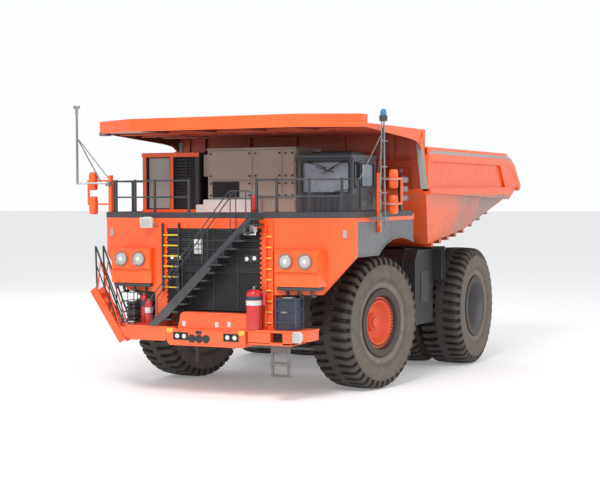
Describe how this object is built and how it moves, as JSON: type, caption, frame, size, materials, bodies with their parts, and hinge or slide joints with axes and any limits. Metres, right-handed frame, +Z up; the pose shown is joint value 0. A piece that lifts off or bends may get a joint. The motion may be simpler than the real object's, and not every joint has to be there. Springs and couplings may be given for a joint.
{
  "type": "mining dump truck",
  "caption": "Large rigid haul truck with a canopied tipping body, a cab on a railed deck, a diagonal front stair and big dusty tyres.",
  "frame": {"origin": "on the ground in the middle of the truck's length and width over everything", "axes": "+Z up, -Y the way the truck drives forwards, +X the driver's left side, where the cab stands"},
  "size_m": [9.3469, 15.51, 8.16],
  "materials": {
    "orange_paint": "satin",
    "dark_paint": "satin",
    "grey_paint": "satin",
    "beige_paint": "satin",
    "red_paint": "gloss",
    "blue_paint": "satin",
    "bare_steel": "brushed",
    "tyre_rubber": "matte",
    "cab_glazing": "clear"
  },
  "bodies": {
    "chassis": {"front_left_strut": "dark_paint", "front_right_strut": "dark_paint", "rear_axle_housing": "dark_paint", "radiator_grille": "dark_paint", "cab_shell": "dark_paint", "resistor_grid_box": "dark_paint", "left_handrail": "dark_paint", "right_handrail": "dark_paint", "front_stairs": "dark_paint", "left_ladder": "dark_paint", "right_ladder": "dark_paint", "main_frame": "grey_paint", "engine_block": "grey_paint", "left_side_panel": "grey_paint", "right_side_panel": "grey_paint", "fuel_tank": "grey_paint", "oil_tank": "grey_paint", "hanging_step": "grey_paint", "front_bumper": "orange_paint", "front_fascia": "orange_paint", "deck": "orange_paint", "left_fender": "orange_paint", "right_fender": "orange_paint", "left_mirror_bracket": "orange_paint", "right_mirror_bracket": "orange_paint", "aerial_mast": "bare_steel", "lamp_mast": "bare_steel", "control_cabinet": "beige_paint", "large_extinguisher": "red_paint", "small_extinguishers": "red_paint", "battery_box": "blue_paint", "cab_glass": "cab_glazing"},
    "dump": {"dump_body": "orange_paint"},
    "left_steer": {"front_left_knuckle": "dark_paint"},
    "right_steer": {"front_right_knuckle": "dark_paint"},
    "front_left_wheel": {"front_left_tyre": "tyre_rubber", "front_left_rim": "orange_paint"},
    "front_right_wheel": {"front_right_tyre": "tyre_rubber", "front_right_rim": "orange_paint"},
    "rear_left_wheels": {"rear_left_rim": "bare_steel", "rear_left_outer_tyre": "tyre_rubber", "rear_left_inner_tyre": "tyre_rubber"},
    "rear_right_wheels": {"rear_right_rim": "bare_steel", "rear_right_outer_tyre": "tyre_rubber", "rear_right_inner_tyre": "tyre_rubber"},
    "tie_rod_bar": {"tie_rod": "bare_steel"},
    "door": {"cab_door": "dark_paint"},
    "stair": {"boarding_stair": "orange_paint"},
    "left_barrel": {"left_hoist_barrel": "dark_paint"},
    "left_sleeve": {"left_hoist_sleeve": "bare_steel"},
    "left_rod": {"left_hoist_rod": "bare_steel"},
    "right_barrel": {"right_hoist_barrel": "dark_paint"},
    "right_sleeve": {"right_hoist_sleeve": "bare_steel"},
    "right_rod": {"right_hoist_rod": "bare_steel"}
  },
  "joints": [
    {"name": "dump_lift", "type": "hinge", "parent": "chassis", "child": "dump", "pos_m": [0, 4.9, 3.1], "axis": [-1, 0, 0], "range_deg": [0, 45]},
    {"name": "left_steering", "type": "hinge", "parent": "chassis", "child": "left_steer", "pos_m": [2, -3.52, 1.90793], "axis": [0, 0, 1], "range_deg": [-27.5, 50.4]},
    {"name": "right_steering", "type": "hinge", "parent": "chassis", "child": "right_steer", "pos_m": [-2, -3.52, 1.90793], "axis": [0, 0, 1], "range_deg": [-27.6, 50.5]},
    {"name": "tie_rod_swing", "type": "hinge", "parent": "left_steer", "child": "tie_rod_bar", "pos_m": [2.08387, -2.9044, 1.06], "axis": [0, 0, 1], "range_deg": [-50.5, 27.6]},
    {"name": "front_left_spin", "type": "hinge", "parent": "left_steer", "child": "front_left_wheel", "pos_m": [2.98892, -3.7203, 1.90793], "axis": [0.9801, -0.1985, 0], "continuous": true},
    {"name": "front_right_spin", "type": "hinge", "parent": "right_steer", "child": "front_right_wheel", "pos_m": [-2.98892, -3.3197, 1.90793], "axis": [0.9801, -0.1985, 0], "continuous": true},
    {"name": "rear_left_spin", "type": "hinge", "parent": "chassis", "child": "rear_left_wheels", "pos_m": [2.74, 2.98, 1.90793], "axis": [1, 0, 0], "continuous": true},
    {"name": "rear_right_spin", "type": "hinge", "parent": "chassis", "child": "rear_right_wheels", "pos_m": [-2.74, 2.98, 1.90793], "axis": [1, 0, 0], "continuous": true},
    {"name": "cab_door_hinge", "type": "hinge", "parent": "chassis", "child": "door", "pos_m": [3.3403, -4.805, 5.8], "axis": [0, 0, -1], "range_deg": [0, 85]},
    {"name": "boarding_stair_hinge", "type": "hinge", "parent": "chassis", "child": "stair", "pos_m": [-2.945, -6.925, 1.5], "axis": [0, -1, 0], "range_deg": [0, 100]},
    {"name": "left_hoist_swing", "type": "hinge", "parent": "chassis", "child": "left_barrel", "pos_m": [1.14, 0.55, 1.5], "axis": [-1, 0, 0], "range_deg": [0, 17.6]},
    {"name": "left_sleeve_slide", "type": "slide", "parent": "left_barrel", "child": "left_sleeve", "axis": [0, 0.0217, 0.9998], "range_m": [0, 1.62]},
    {"name": "left_rod_slide", "type": "slide", "parent": "left_sleeve", "child": "left_rod", "axis": [0, 0.0217, 0.9998], "range_m": [0, 1.62]},
    {"name": "right_hoist_swing", "type": "hinge", "parent": "chassis", "child": "right_barrel", "pos_m": [-1.14, 0.55, 1.5], "axis": [-1, 0, 0], "range_deg": [0, 17.6]},
    {"name": "right_sleeve_slide", "type": "slide", "parent": "right_barrel", "child": "right_sleeve", "axis": [0, 0.0217, 0.9998], "range_m": [0, 1.62]},
    {"name": "right_rod_slide", "type": "slide", "parent": "right_sleeve", "child": "right_rod", "axis": [0, 0.0217, 0.9998], "range_m": [0, 1.62]}
  ],
  "couplings": [
    {"joint": "right_steering", "follows": "left_steering", "ratio": 1},
    {"joint": "tie_rod_swing", "follows": "left_steering", "ratio": -1},
    {"joint": "left_hoist_swing", "follows": "dump_lift", "ratio": 0.38427},
    {"joint": "left_sleeve_slide", "follows": "dump_lift", "m_per_rad": 2.0476},
    {"joint": "left_rod_slide", "follows": "dump_lift", "m_per_rad": 2.0476},
    {"joint": "right_hoist_swing", "follows": "dump_lift", "ratio": 0.38427},
    {"joint": "right_sleeve_slide", "follows": "dump_lift", "m_per_rad": 2.0476},
    {"joint": "right_rod_slide", "follows": "dump_lift", "m_per_rad": 2.0476}
  ]
}
